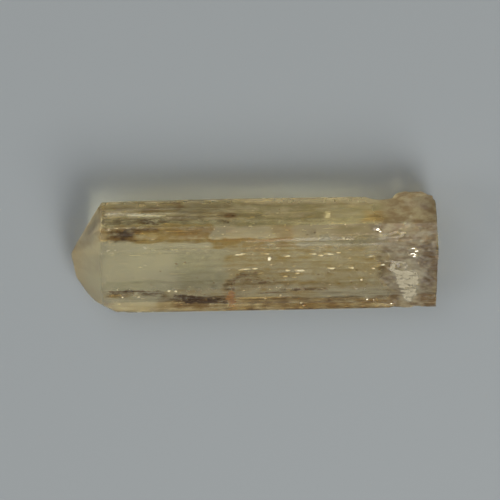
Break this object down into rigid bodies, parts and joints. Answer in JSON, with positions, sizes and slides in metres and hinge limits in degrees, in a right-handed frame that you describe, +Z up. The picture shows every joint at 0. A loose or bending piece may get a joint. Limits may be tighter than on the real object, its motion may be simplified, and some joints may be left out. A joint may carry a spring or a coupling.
{
  "type": "topaz crystal",
  "caption": "Champagne topaz prism with striated lengthwise faces, a pointed pyramid end and a rough, cleaved base, lying on a prism face.",
  "frame": {"origin": "middle of the bounding box's underside, on the plane that the crystal rests on", "axes": "+X along the crystal's length, from the pointed end towards the cleaved base; +Y across it, towards the rim with the knob; +Z up"},
  "size_m": [0.027, 0.0092, 0.0047],
  "materials": {
    "crystal": "natural crystal faces, finely striated along the length; frosted and cloudy near the base"
  },
  "bodies": {
    "root": {"crystal": "crystal"}
  },
  "joints": []
}
